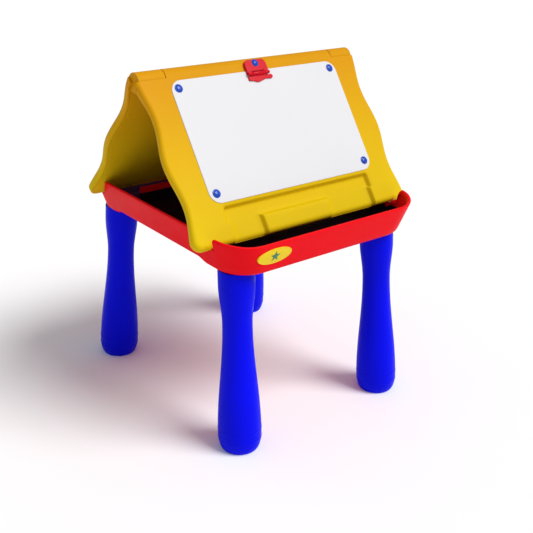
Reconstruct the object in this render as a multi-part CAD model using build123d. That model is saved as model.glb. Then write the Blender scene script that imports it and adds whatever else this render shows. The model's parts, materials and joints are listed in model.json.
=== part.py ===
from build123d import *
import os
from math import cos, pi, radians, sin

# Activity easel table: a red tray on four blue legs, with a yellow A-frame easel standing in it.
# Millimetres, +Z up, origin on the floor under the middle of the table, whiteboard side facing -Y.

# ---- Driving dimensions: easel ----
RIDGE_Z = 792.0            # height of the hinge axis
SLOPE_DEG = 54.6           # slope of each easel panel above the horizontal
BARREL_R = 22.0            # hinge barrel, tangent to the panel faces
BARREL_GAP = 0.6           # running gap between a barrel and the other panel
GROOVE_S = 7.0             # the panel's edge beside the other panel's barrel
KNUCKLE_X = 237.0          # the front panel's barrel ends here, the back panel's begin here
KNUCKLE_GAP = 0.5
BARREL_END_X = 304.0
PIN_R = 6.0
PIN_CLEARANCE = 0.05
PIN_LENGTH = 90.0
BARREL_WALL = 3.5
BARREL_WEB = 6.0

PANEL_HALF_W = 311.0
PANEL_WAVE = 13.0          # depth of the two waists in each side edge
PANEL_LENGTH = 386.0       # from the hinge axis down the slope
PANEL_TOP = 2.0            # the flat plate starts here and runs into the barrel above it
PANEL_INNER = 2.0          # inner face, measured out from the hinge axis
PANEL_WALL = 3.0
PANEL_FACE = 4.0
PANEL_CORNER_R = 22.0
PANEL_EDGE_R = 8.0
BACKING_T = 2.5
BACKING_GAP = 0.4

BOARD_W = 470.0
BOARD_TOP = 15.5           # distances down the slope
BOARD_BOTTOM = 298.0
BOARD_T = 3.0
BOARD_SINK = 1.5
BOARD_CORNER_R = 27.0
BOARD_GAP = 0.3
RIVET_X = 217.0
RIVET_ROWS = (34.0, 275.5)
RIVET_HEAD_R = 10.8
RIVET_HEAD_H = 4.0
RIVET_SHANK_R = 3.5
RIVET_TAIL = 2.0           # the shank ends this far behind the panel's face wall

CHANNEL_HALF_W = 209.0     # pen channel across the panel
CHANNEL_TOP = 308.0
CHANNEL_BOTTOM = 341.0
CHANNEL_DEPTH = 10.0
POCKETS_X = ((-205.0, -121.0), (72.0, 205.0))   # marker pockets below the channel

# ---- Driving dimensions: tray ----
TRAY_BOTTOM_Z = 432.0
TRAY_RAIL_Z = 517.0
TRAY_BOTTOM_HALF_W = 256.0
TRAY_TOP_HALF_W = 283.0
TRAY_BOTTOM_Y = (-306.0, 286.0)
TRAY_TOP_Y = (-332.0, 306.0)
TRAY_BOTTOM_R = 72.0
TRAY_TOP_R = 83.0
TRAY_WALL = 4.0
TRAY_MID_LIFT = 8.0        # the middle of the tray is shallower than the two troughs
TRAY_MID_Y = 168.0
TRAY_TROUGH_Y = 196.0
HORN_Y = 250.0              # upright front edge of each slot, where the rim rises to a horn
RIM_CORNER_Y = 296.0
RIM_CORNER_Z = 512.0
RIM_END_Y = 325.0
RIM_Z = 508.0
SLOT_INNER_GAP = 3.0
SLOT_END_GAP = 0.4
DIVIDER_Y = (214.0, 219.0)
DIVIDER_HALF_W = 172.0
DIVIDER_Z = 476.0
LINER_T = 2.0
LINER_GAP = 0.5
SLOT_LOW_Z = 462.0         # the slots reach no lower than this

# ---- Driving dimensions: legs ----
LEG_FLOOR = (220.0, 278.0)
LEG_TOP = (211.0, 243.0)
LEG_WALL = 3.5
FOOT_R = 50.0
FOOT_Z = 36.0
WAIST_R = 33.5
WAIST_Z = 305.0
HEAD_R = 40.5
HEAD_Z = 398.0
SOLE_R = 35.0
HEEL_TUCK = 3.5            # how far the rounded heel pulls in from the foot's full radius
LEG_OVERRUN = 6.0          # legs are made this much too long and cut level under the tray
SOLE_TRIM = 4.5            # the tilted sole is cut flat on the floor within this height
SPIGOT_LENGTH = 32.0
SPIGOT_WALL = 3.5
SPIGOT_GAP = 0.1
SPIGOT_ROOT = 6.0          # the plug runs this far up into the tray floor before it is trimmed

# ---- Driving dimensions: paper clip and badge ----
CLIP_HALF_W = 30.0
CLIP_TOP = -9.0
CLIP_HINGE_S = 25.0
CLIP_HINGE_H = 29.0
CLIP_BASE_H = 29.0
CLIP_BARREL_R = 4.2
CLIP_PIN_R = 1.6
CLIP_LIP_S = 43.0
CLIP_TAB_X = 39.0
CLIP_CORNER_R = 12.0
CLIP_KNUCKLE_X = 18.0      # half width of the space for the jaw's knuckles
CLIP_KNUCKLE_GAP = 0.4
CLIP_SPRING_X = 7.5        # half length of the spring between the knuckles
CLIP_SPRING_R = 3.4
CLIP_SPRING_GAP = 1.5
CLIP_ROOM = 6.0            # room round the hinge barrel
CLIP_RIVET_R = 9.0
CLIP_RIVET_H = 3.6
CLIP_RIVET_SHANK = 15.0
JAW_T = 3.0
JAW_GAP = 0.3
BADGE_X = -168.0
BADGE_Z = 476.0
BADGE_SIZE = (90.0, 40.0)
BADGE_T = 2.0
STAR_R = (13.0, 5.5)
STAR_T = 1.0

SLOPE = radians(SLOPE_DEG)
PANEL_OUTER = BARREL_R
BOARD_FACE = PANEL_OUTER - BOARD_SINK + BOARD_T
REACH = 400.0              # cutting tools reach this far, past every edge of the table
MARGIN = 1.0               # cutting tools overrun a face by this much

# Board space: X across, Y up the slope from the hinge axis, Z outward from the hinge axis.
FRONT = Plane(origin=(0, 0, RIDGE_Z), x_dir=(1, 0, 0), z_dir=(0, -sin(SLOPE), cos(SLOPE)))


def on_front(shape):
    return FRONT.location * shape


def on_back(shape):
    return Rot(0, 0, 180) * (FRONT.location * shape)


def block(x, y, z):
    """A box given by its lowest and highest coordinate on each axis."""
    size = (x[1] - x[0], y[1] - y[0], z[1] - z[0])
    middle = ((x[0] + x[1]) / 2, (y[0] + y[1]) / 2, (z[0] + z[1]) / 2)
    return Pos(*middle) * Box(*size)


def slab(z0, z1):
    """A flat layer wider than the table."""
    return block((-REACH, REACH), (-REACH, REACH), (z0, z1))


def rod_x(radius, x0, x1, y=0.0, z=0.0):
    """A round bar along X."""
    return Pos((x0 + x1) / 2, y, z) * (Rot(0, 90, 0) * Cylinder(radius, x1 - x0))


def both_sides(shape):
    return shape + mirror(shape, about=Plane.YZ)


# ---- Easel panels ----
def edge_x(s, inset):
    """Half width of a panel at distance s down the slope: two shallow waists."""
    wave = (1 - cos(4 * pi * s / PANEL_LENGTH)) / 2
    return PANEL_HALF_W - PANEL_WAVE * wave - inset


def panel_outline(inset, top):
    """Wavy-sided outline in board space, from distance top down to the bottom edge."""
    bottom = PANEL_LENGTH - inset
    corner = PANEL_CORNER_R - inset
    steps = 12
    side = []
    for i in range(steps + 1):
        s = top + (bottom - corner - top) * i / steps
        side.append((edge_x(s, inset), -s))
    x_end = side[-1][0]
    right = Spline(*side)
    round_right = TangentArc([side[-1], (x_end - corner, -bottom)], tangent=right % 1)
    left_points = [(-x, y) for x, y in side]
    left = Spline(*left_points)
    round_left = TangentArc([left_points[-1], (corner - x_end, -bottom)], tangent=left % 1)
    floor_line = Line(round_right @ 1, round_left @ 1)
    top_line = Line(side[0], left_points[0])
    return make_face([right, round_right, floor_line, round_left, left, top_line])


def channel_tool(grow, depth_from):
    """Pen channel and the two marker pockets below it, cut from the outer face inwards."""
    top = PANEL_OUTER + MARGIN
    tool = block((-CHANNEL_HALF_W - grow, CHANNEL_HALF_W + grow),
                 (-CHANNEL_BOTTOM - grow, -CHANNEL_TOP + grow), (depth_from, top))
    for x0, x1 in POCKETS_X:
        tool += block((x0 - grow, x1 + grow),
                      (-PANEL_LENGTH - MARGIN, -CHANNEL_BOTTOM + MARGIN), (depth_from, top))
    return tool


def board_outline(grow):
    middle = -(BOARD_TOP + BOARD_BOTTOM) / 2
    width = BOARD_W + 2 * grow
    height = BOARD_BOTTOM - BOARD_TOP + 2 * grow
    return Pos(0, middle) * RectangleRounded(width, height, BOARD_CORNER_R + grow)


def rivet_places():
    return [(x, -s) for x in (-RIVET_X, RIVET_X) for s in RIVET_ROWS]


def barrel_space(x0, x1):
    """Room for the other panel's barrel: round behind, with an upright edge at the face."""
    groove = block((x0, x1), (-GROOVE_S, MARGIN), (PANEL_OUTER / 2, PANEL_OUTER + MARGIN))
    return rod_x(BARREL_R + BARREL_GAP, x0, x1) + groove


def panel(front):
    """Moulded panel shell, open on its inner side, with its share of the hinge barrel.

    The front panel has the middle of the barrel and the pen channel, the back one both ends.
    """
    thickness = PANEL_OUTER - PANEL_INNER
    plate = extrude(Pos(0, 0, PANEL_INNER) * panel_outline(0, PANEL_TOP), thickness)
    outer_rim = plate.faces().sort_by(Axis.Z)[-1].edges().filter_by(
        lambda edge: edge.center().Y < -PANEL_TOP - MARGIN)
    plate = fillet(outer_rim, PANEL_EDGE_R)
    hollow = extrude(Pos(0, 0, PANEL_INNER) * panel_outline(PANEL_WALL, BARREL_R + PANEL_WALL),
                     thickness - PANEL_FACE)
    x_in = KNUCKLE_X - KNUCKLE_GAP / 2
    x_out = KNUCKLE_X + KNUCKLE_GAP / 2
    if front:
        spans = [(-x_in, x_in)]
        clear = both_sides(barrel_space(x_in, REACH))
    else:
        spans = [(-BARREL_END_X, -x_out), (x_out, BARREL_END_X)]
        clear = barrel_space(-x_out, x_out)
    body = plate - clear
    for x0, x1 in spans:
        body += rod_x(BARREL_R, x0, x1)
    if front:
        hollow -= channel_tool(PANEL_WALL, PANEL_OUTER - CHANNEL_DEPTH - PANEL_WALL)
    body -= hollow
    if front:
        body -= channel_tool(0, PANEL_OUTER - CHANNEL_DEPTH)
    for x0, x1 in spans:
        body -= rod_x(BARREL_R - BARREL_WALL, x0 + BARREL_WEB, x1 - BARREL_WEB)
        body -= rod_x(PIN_R + PIN_CLEARANCE, x0 - MARGIN, x1 + MARGIN)
    recess = board_outline(BOARD_GAP)
    body -= extrude(Pos(0, 0, PANEL_OUTER - BOARD_SINK) * recess, BOARD_SINK + MARGIN)
    for x, y in rivet_places():
        body -= Pos(x, y, PANEL_OUTER) * Cylinder(RIVET_SHANK_R, 4 * PANEL_FACE)
    if front:
        body -= Pos(0, 0, BARREL_R) * Cylinder(RIVET_SHANK_R, 4 * BARREL_WALL)
    return body


def panel_backing():
    """Flat inner sheet that closes the hollow panel, set inside its rim."""
    inset = PANEL_WALL + BACKING_GAP
    return extrude(Pos(0, 0, PANEL_INNER) * panel_outline(inset, BARREL_R + inset), BACKING_T)


def board():
    sheet = extrude(Pos(0, 0, PANEL_OUTER - BOARD_SINK) * board_outline(0), BOARD_T)
    for x, y in rivet_places():
        sheet -= Pos(x, y, PANEL_OUTER) * Cylinder(RIVET_SHANK_R, 4 * BOARD_T)
    return sheet


def domed_head(radius, height):
    """Shallow spherical cap standing on z = 0."""
    ball_r = (radius * radius + height * height) / (2 * height)
    ball = Pos(0, 0, height - ball_r) * Sphere(ball_r)
    return ball & (Pos(0, 0, height / 2) * Cylinder(2 * radius, height))


def rivets():
    shank_length = BOARD_FACE - (PANEL_OUTER - PANEL_FACE) + RIVET_TAIL
    rivet = domed_head(RIVET_HEAD_R, RIVET_HEAD_H)
    rivet += Pos(0, 0, -shank_length / 2) * Cylinder(RIVET_SHANK_R, shank_length)
    return [Pos(x, y, BOARD_FACE) * rivet for x, y in rivet_places()]


# ---- Paper clip, in board space ----
def clip_rod(radius, half_length):
    """A round bar on the clip's hinge axis."""
    return rod_x(radius, -half_length, half_length, -CLIP_HINGE_S, CLIP_HINGE_H)


def clip_base():
    """Shield-shaped plate over the ridge, with the two outer hinge lugs along its lower edge."""
    height = CLIP_HINGE_S - CLIP_TOP
    middle = -(CLIP_HINGE_S + CLIP_TOP) / 2
    outline = Pos(0, middle) * RectangleRounded(2 * CLIP_HALF_W, height, CLIP_CORNER_R)
    lower = block((-CLIP_HALF_W, CLIP_HALF_W), (-CLIP_HINGE_S, middle), (0, CLIP_BASE_H))
    plate = extrude(outline, CLIP_BASE_H) + lower
    plate -= rod_x(BARREL_R, -REACH, REACH)
    plate -= block((-REACH, REACH), (-REACH, 0), (-MARGIN, BOARD_FACE))
    knuckle_room = block((-CLIP_KNUCKLE_X, CLIP_KNUCKLE_X),
                         (-CLIP_HINGE_S - CLIP_ROOM, -CLIP_HINGE_S + CLIP_BARREL_R + MARGIN),
                         (BOARD_FACE, REACH))
    plate = plate + clip_rod(CLIP_BARREL_R, CLIP_HALF_W) - knuckle_room
    plate -= clip_rod(CLIP_PIN_R, REACH)
    return plate - Pos(0, 0, CLIP_BASE_H) * Cylinder(RIVET_SHANK_R, 2 * CLIP_BASE_H)


def clip_jaw():
    """Hinged lip with a wavy lower edge and a finger tab at its right end."""
    knuckle_x = CLIP_KNUCKLE_X - CLIP_KNUCKLE_GAP
    spring_x = CLIP_SPRING_X + CLIP_SPRING_GAP
    spring_room = block((-spring_x, spring_x), (-REACH, 0), (0, REACH))
    top = -CLIP_HINGE_S - CLIP_BARREL_R - 2 * JAW_GAP
    low = -CLIP_LIP_S
    wave = Spline((-CLIP_HALF_W, low + 4), (-17, low + 2), (-6, low - 2), (7, low + 1),
                  (18, low + 4), (CLIP_TAB_X - 5, low + 3))
    tab = ThreePointArc(wave @ 1, (CLIP_TAB_X, low + 8), (CLIP_TAB_X - 5, low + 13))
    upper = Line(tab @ 1, (CLIP_HALF_W, top))
    edge = Line(upper @ 1, (-CLIP_HALF_W, top))
    side = Line(edge @ 1, wave @ 0)
    back = BOARD_FACE + JAW_GAP
    lip = extrude(Pos(0, 0, back) * make_face([wave, tab, upper, edge, side]), JAW_T)
    knuckles = clip_rod(CLIP_BARREL_R, knuckle_x)
    arms = block((-knuckle_x, knuckle_x), (top - MARGIN, -CLIP_HINGE_S - CLIP_PIN_R - JAW_GAP),
                 (back, CLIP_HINGE_H))
    jaw = lip + (knuckles + arms - spring_room)
    return jaw - clip_rod(CLIP_PIN_R + PIN_CLEARANCE, REACH)


def clip_spring():
    """Torsion spring round the hinge pin, as a short sleeve of wire."""
    return clip_rod(CLIP_SPRING_R, CLIP_SPRING_X) - clip_rod(CLIP_PIN_R + 2 * JAW_GAP, REACH)


def clip_pin():
    return clip_rod(CLIP_PIN_R, CLIP_HALF_W - MARGIN)


def clip_rivet():
    head = Pos(0, 0, CLIP_BASE_H) * domed_head(CLIP_RIVET_R, CLIP_RIVET_H)
    shank = Cylinder(RIVET_SHANK_R, CLIP_RIVET_SHANK)
    return head + Pos(0, 0, CLIP_BASE_H - CLIP_RIVET_SHANK / 2) * shank


# ---- Tray ----
def tub_section(z, inset):
    """Rounded rectangle of the tray at height z; its walls flare evenly with height."""
    t = (z - TRAY_BOTTOM_Z) / (TRAY_RAIL_Z - TRAY_BOTTOM_Z)
    half_w = TRAY_BOTTOM_HALF_W + t * (TRAY_TOP_HALF_W - TRAY_BOTTOM_HALF_W) - inset
    y0 = TRAY_BOTTOM_Y[0] + t * (TRAY_TOP_Y[0] - TRAY_BOTTOM_Y[0]) + inset
    y1 = TRAY_BOTTOM_Y[1] + t * (TRAY_TOP_Y[1] - TRAY_BOTTOM_Y[1]) - inset
    radius = TRAY_BOTTOM_R + t * (TRAY_TOP_R - TRAY_BOTTOM_R) - inset
    return Pos(0, (y0 + y1) / 2, z) * RectangleRounded(2 * half_w, y1 - y0, radius)


def tub(z0, z1, inset):
    return loft([tub_section(z0, inset), tub_section(z1, inset)])


def across_x(points):
    """Prism along X, right across the table, from an outline in Y and Z."""
    return extrude(Plane.YZ * make_face(Polyline(*points, close=True)), REACH, both=True)


def below_floor(lift):
    """Everything under the tray floor: two deep troughs with a raised middle between them."""
    low = TRAY_BOTTOM_Z - REACH / 10
    trough = TRAY_BOTTOM_Z + lift
    high = trough + TRAY_MID_LIFT
    points = [(-REACH, low), (-REACH, trough), (-TRAY_TROUGH_Y, trough), (-TRAY_MID_Y, high),
              (TRAY_MID_Y, high), (TRAY_TROUGH_Y, trough), (REACH, trough), (REACH, low)]
    return across_x(points)


def rim_cutter():
    """Everything above the trough rims, which slope down from the slots to the end walls."""
    def one_end(sign):
        points = [(sign * HORN_Y, RIDGE_Z), (sign * HORN_Y, TRAY_RAIL_Z),
                  (sign * RIM_CORNER_Y, RIM_CORNER_Z), (sign * RIM_END_Y, RIM_Z),
                  (sign * REACH, RIM_Z), (sign * REACH, RIDGE_Z)]
        return across_x(points)
    return one_end(-1) + one_end(1)


def slot_tool():
    """Space round a panel's edge where it passes through a side rail, seen along X (front one).

    The inner side follows the panel's slope, the outer side stands upright, and the floor is
    cut square to the panel just under its bottom edge.
    """
    def point(s, h):
        return (-h * sin(SLOPE) - s * cos(SLOPE), RIDGE_Z + h * cos(SLOPE) - s * sin(SLOPE))
    inner_h = PANEL_INNER - SLOT_INNER_GAP
    end_s = PANEL_LENGTH + SLOT_END_GAP
    inner_top = point(PANEL_LENGTH / 2, inner_h)
    inner_end = point(end_s, inner_h)
    outer_end = point(end_s, PANEL_OUTER)
    points = [inner_top, inner_end, outer_end, (-HORN_Y, outer_end[1]), (-HORN_Y, inner_top[1])]
    return across_x(points)


def divider(grow):
    """Low rib across the back trough."""
    return block((-DIVIDER_HALF_W - grow, DIVIDER_HALF_W + grow),
                 (DIVIDER_Y[0] - grow, DIVIDER_Y[1] + grow),
                 (TRAY_BOTTOM_Z + MARGIN, DIVIDER_Z))


def leg_plane(x_sign, y_sign):
    """Leg space: Z runs up the splayed leg from the floor, at the leg's own centre line."""
    foot = Vector(x_sign * LEG_FLOOR[0], y_sign * LEG_FLOOR[1], 0)
    top = Vector(x_sign * LEG_TOP[0], y_sign * LEG_TOP[1], TRAY_BOTTOM_Z)
    return Plane(origin=foot, x_dir=(1, 0, 0), z_dir=top - foot)


def spigot(x_sign, y_sign):
    """Hollow plug under the tray that the leg's open top pushes over."""
    radius = leg_radius(TRAY_BOTTOM_Z - SPIGOT_LENGTH) - LEG_WALL - SPIGOT_GAP
    length = SPIGOT_LENGTH + 2 * SPIGOT_ROOT
    centre = TRAY_BOTTOM_Z + SPIGOT_ROOT - SPIGOT_LENGTH / 2
    ring = Cylinder(radius, length) - Cylinder(radius - SPIGOT_WALL, 2 * length)
    ring = leg_plane(x_sign, y_sign).location * (Pos(0, 0, centre) * ring)
    return ring & slab(0, TRAY_BOTTOM_Z + TRAY_WALL / 2)


def tray():
    outer = tub(TRAY_BOTTOM_Z, TRAY_RAIL_Z, 0) - below_floor(0)
    inner = tub(TRAY_BOTTOM_Z + MARGIN, TRAY_RAIL_Z + MARGIN, TRAY_WALL) - below_floor(TRAY_WALL)
    body = outer - inner + divider(0) - rim_cutter()
    slot = slot_tool() & slab(SLOT_LOW_Z, RIDGE_Z)
    body -= slot
    body -= Rot(0, 0, 180) * slot
    for x_sign in (-1, 1):
        for y_sign in (-1, 1):
            body += spigot(x_sign, y_sign)
    return body


def tray_liner():
    """Thin dark sheet shaped to the tray floor, troughs included."""
    inside = tub(TRAY_BOTTOM_Z + MARGIN, TRAY_RAIL_Z, TRAY_WALL + LINER_GAP)
    sheet = (inside - below_floor(TRAY_WALL)) & below_floor(TRAY_WALL + LINER_T)
    return sheet - divider(LINER_GAP)


# ---- Legs ----
def leg_radius(z):
    """Outer radius of a leg: full at the foot, waisted two thirds up, full again under the tray."""
    if z < WAIST_Z:
        t = max(0.0, (z - FOOT_Z) / (WAIST_Z - FOOT_Z))
        return FOOT_R + (WAIST_R - FOOT_R) * (1 - cos(pi * t)) / 2
    t = min(1.0, (z - WAIST_Z) / (HEAD_Z - WAIST_Z))
    return WAIST_R + (HEAD_R - WAIST_R) * (1 - cos(pi * t)) / 2


def leg_profile(inset, sole_z, top_z):
    """Half section of a leg up to a height, reduced all round by inset."""
    steps = 16
    heights = [FOOT_Z + (top_z - FOOT_Z) * i / steps for i in range(steps + 1)]
    curve = Spline(*[(leg_radius(z) - inset, z) for z in heights])
    lid = Line(curve @ 1, (0, top_z))
    axis = Line(lid @ 1, (0, sole_z))
    sole = Line(axis @ 1, (SOLE_R - inset, sole_z))
    heel_mid = (FOOT_R - inset - HEEL_TUCK, sole_z + (FOOT_Z - sole_z) / 3)
    heel = ThreePointArc(sole @ 1, heel_mid, curve @ 0)
    return make_face([curve, lid, axis, sole, heel])


def leg(x_sign, y_sign):
    plug_z = TRAY_BOTTOM_Z - SPIGOT_LENGTH
    top_z = TRAY_BOTTOM_Z + LEG_OVERRUN
    outer = revolve(Plane.XZ * leg_profile(0, -SOLE_TRIM, top_z), Axis.Z)
    inner = revolve(Plane.XZ * leg_profile(LEG_WALL, SOLE_TRIM, plug_z), Axis.Z)
    mouth_r = leg_radius(plug_z) - LEG_WALL
    mouth = Pos(0, 0, plug_z + SPIGOT_LENGTH - MARGIN) * Cylinder(mouth_r, 2 * SPIGOT_LENGTH)
    body = leg_plane(x_sign, y_sign).location * (outer - inner - mouth)
    return body & slab(0, TRAY_BOTTOM_Z)


def badge():
    """Plain oval plate on the sloping front wall, with a raised star."""
    flare = (TRAY_TOP_Y[0] - TRAY_BOTTOM_Y[0]) / (TRAY_RAIL_Z - TRAY_BOTTOM_Z)
    wall_y = TRAY_BOTTOM_Y[0] + flare * (BADGE_Z - TRAY_BOTTOM_Z)
    face = Plane(origin=(BADGE_X, wall_y, BADGE_Z), x_dir=(1, 0, 0), z_dir=(0, -1, flare))
    plate = extrude(Ellipse(BADGE_SIZE[0] / 2, BADGE_SIZE[1] / 2), BADGE_T)
    star_points = []
    for i in range(10):
        radius = STAR_R[i % 2]
        angle = pi / 2 + i * pi / 5
        star_points.append((radius * cos(angle), radius * sin(angle)))
    star = make_face(Polyline(*star_points, close=True))
    plate += extrude(Pos(0, 0, BADGE_T) * star, STAR_T)
    return face.location * plate


def ridge_pin(x_sign):
    """Hinge pin pushed in through the back panel's barrel to the front panel's."""
    shank = rod_x(PIN_R, BARREL_END_X - PIN_LENGTH, BARREL_END_X, 0, RIDGE_Z)
    return shank if x_sign > 0 else mirror(shank, about=Plane.YZ)


parts = {
    "tray": tray(),
    "tray_liner": tray_liner(),
    "leg_front_left": leg(-1, -1),
    "leg_front_right": leg(1, -1),
    "leg_back_left": leg(-1, 1),
    "leg_back_right": leg(1, 1),
    "badge": badge(),
    "ridge_pin_left": ridge_pin(-1),
    "ridge_pin_right": ridge_pin(1),
    "front_panel": on_front(panel(front=True)),
    "front_panel_backing": on_front(panel_backing()),
    "whiteboard": on_front(board()),
    "front_board_rivets": Compound(children=[on_front(r) for r in rivets()]),
    "clip_base": on_front(clip_base()),
    "clip_rivet": on_front(clip_rivet()),
    "clip_pin": on_front(clip_pin()),
    "clip_spring": on_front(clip_spring()),
    "clip_jaw": on_front(clip_jaw()),
    "back_panel": on_back(panel(front=False)),
    "back_panel_backing": on_back(panel_backing()),
    "chalkboard": on_back(board()),
    "back_board_rivets": Compound(children=[on_back(r) for r in rivets()]),
}

os.makedirs("parts", exist_ok=True)
for name, shape in parts.items():
    export_step(shape, f"parts/{name}.step")
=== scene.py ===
import json
import math

import bmesh
import bpy
from mathutils import Matrix, Vector


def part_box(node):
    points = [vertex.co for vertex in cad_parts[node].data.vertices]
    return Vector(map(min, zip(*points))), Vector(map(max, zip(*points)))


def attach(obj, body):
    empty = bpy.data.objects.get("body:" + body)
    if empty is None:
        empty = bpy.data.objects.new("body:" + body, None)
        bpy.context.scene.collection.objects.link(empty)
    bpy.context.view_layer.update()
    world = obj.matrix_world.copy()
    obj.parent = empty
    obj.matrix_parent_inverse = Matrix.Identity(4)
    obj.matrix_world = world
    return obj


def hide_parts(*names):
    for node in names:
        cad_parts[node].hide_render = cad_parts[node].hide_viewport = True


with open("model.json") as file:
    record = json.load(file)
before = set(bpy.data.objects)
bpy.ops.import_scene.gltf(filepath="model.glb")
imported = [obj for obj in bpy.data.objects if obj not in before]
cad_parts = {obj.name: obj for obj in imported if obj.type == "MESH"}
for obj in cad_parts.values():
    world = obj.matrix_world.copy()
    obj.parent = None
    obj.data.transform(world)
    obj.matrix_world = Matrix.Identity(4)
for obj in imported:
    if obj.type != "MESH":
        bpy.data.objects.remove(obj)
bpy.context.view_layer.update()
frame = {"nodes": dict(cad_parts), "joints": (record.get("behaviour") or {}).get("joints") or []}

# Looks of the activity easel table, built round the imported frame. Metres, +Z up, whiteboard to -Y.
MM = 0.001
NODES = frame["nodes"]
JOINTS = {joint["name"]: joint for joint in frame["joints"]}

# ---- Easel: board space is X across, s down the slope and h outward from the hinge axis ----
RIDGE_Z = JOINTS["front_fold"]["pos_m"][2]
SLOPE = math.radians(54.6)
BARREL_R = 22.0 * MM
BARREL_ROOM = 22.6 * MM        # clearance round the other panel's barrel
KNUCKLE_X = 237.0 * MM
BARREL_END_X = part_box("ridge_pin_right")[1].x
PANEL_HALF_W = 311.0 * MM
PANEL_WAVE = 13.0 * MM
PANEL_LENGTH = 386.0 * MM
PANEL_INNER = 2.0 * MM
PANEL_CORNER_R = 22.0 * MM
PANEL_EDGE_R = 9.0 * MM
BOARD_HALF_W = 235.0 * MM
BOARD_SPAN = (15.5 * MM, 298.0 * MM)
BOARD_CORNER_R = 27.0 * MM
BOARD_FACE = 23.5 * MM
CHANNEL = (209.0 * MM, 308.0 * MM, 341.0 * MM)
CHANNEL_DEPTH = 10.0 * MM
POCKETS_X = ((-205.0 * MM, -121.0 * MM), (72.0 * MM, 205.0 * MM))
SOFT_EDGE = 4.5 * MM           # half width of the rounded edges round the channel
RIVET_PLACES = [(x * MM, s * MM) for x in (-217.0, 217.0) for s in (34.0, 275.5)]

# ---- Tray ----
TRAY_TOP_Z = 517.0 * MM
TRAY_BOTTOM_Z = 432.0 * MM
TRAY_HALF_W = (256.0 * MM, 283.0 * MM)
TRAY_FRONT_Y = (-306.0 * MM, -332.0 * MM)
TRAY_BACK_Y = (286.0 * MM, 306.0 * MM)
TRAY_CORNER_R = (72.0 * MM, 83.0 * MM)
TRAY_WALL = 4.0 * MM
TRAY_MID_LIFT = 8.0 * MM
TRAY_MID_Y = 168.0 * MM
TRAY_TROUGH_Y = 196.0 * MM
HORN_Y = 250.0 * MM
RIM_LINE = ((HORN_Y, 517.0 * MM), (296.0 * MM, 512.0 * MM), (325.0 * MM, 508.0 * MM))
LINER_GAP = 2.6 * MM
LINER_T = 2.0 * MM
LINER_TOP_Z = 474.0 * MM       # the liner turns up the inner walls to here
RIB_Y = 216.5 * MM             # low divider across the back trough
RIB_SIZE = (344.0 * MM, 5.0 * MM)
RIB_TOP_Z = 476.0 * MM
RIB_DARK_Z = 461.0 * MM        # the liner covers the divider up to here
RIB_ROOT = 2.0 * MM
RIB_EDGE_R = 2.2 * MM
RIB_COVER_T = 0.6 * MM

# ---- Legs ----
LEG_FLOOR = (220.0 * MM, 278.0 * MM)
LEG_TOP = (211.0 * MM, 243.0 * MM)
FOOT_R = 50.0 * MM
FOOT_Z = 36.0 * MM
WAIST_R = 33.5 * MM
WAIST_Z = 305.0 * MM
HEAD_R = 40.5 * MM
HEAD_Z = 398.0 * MM
SOLE_R = 35.0 * MM
SOLE_Z = -4.5 * MM


def on_board(x, s, h, back=False):
    """World place of a point in board space, on the front panel or the back one."""
    y = -h * math.sin(SLOPE) - s * math.cos(SLOPE)
    z = RIDGE_Z + h * math.cos(SLOPE) - s * math.sin(SLOPE)
    return (-x, -y, z) if back else (x, y, z)


SHARP_ANGLE = 38.0              # degrees; faces meeting at more than this keep a crisp edge


# ---- Materials ----
class Nodes:
    """Short way to add and link shader nodes."""

    def __init__(self, name):
        self.material = bpy.data.materials.new(name)
        self.material.use_nodes = True
        self.tree = self.material.node_tree
        self.shader = self.tree.nodes["Principled BSDF"]

    def add(self, kind, **settings):
        node = self.tree.nodes.new(kind)
        for key, value in settings.items():
            if key in node.inputs:
                node.inputs[key].default_value = value
            else:
                setattr(node, key, value)
        return node

    def link(self, source, target):
        self.tree.links.new(source, target)

    def noise(self, place, scale, detail=3.0, rough=0.5):
        node = self.add("ShaderNodeTexNoise", Scale=scale, Detail=detail, Roughness=rough)
        self.link(place, node.inputs["Vector"])
        return node.outputs["Fac"]

    def ranged(self, value, low, high, out_low, out_high):
        node = self.add("ShaderNodeMapRange")
        for socket, number in zip(node.inputs[1:5], (low, high, out_low, out_high)):
            socket.default_value = number
        self.link(value, node.inputs[0])
        return node.outputs[0]

    def mix(self, factor, colour_a, colour_b):
        node = self.add("ShaderNodeMix", data_type="RGBA")
        sockets = [node.inputs[0], node.inputs[6], node.inputs[7]]
        for socket, value in zip(sockets, (factor, colour_a, colour_b)):
            if isinstance(value, bpy.types.NodeSocket):
                self.link(value, socket)
            else:
                socket.default_value = value
        return node.outputs[2]


PAINTED_LIGHT_SPAN = (0.50, 0.79)        # painted light: between these heights the yellow panels turn from the brighter lower tone to the darker upper one, for how light falls on them


def shade(colour, factor):
    return (*[min(1.0, c * factor) for c in colour], 1.0)


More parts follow.
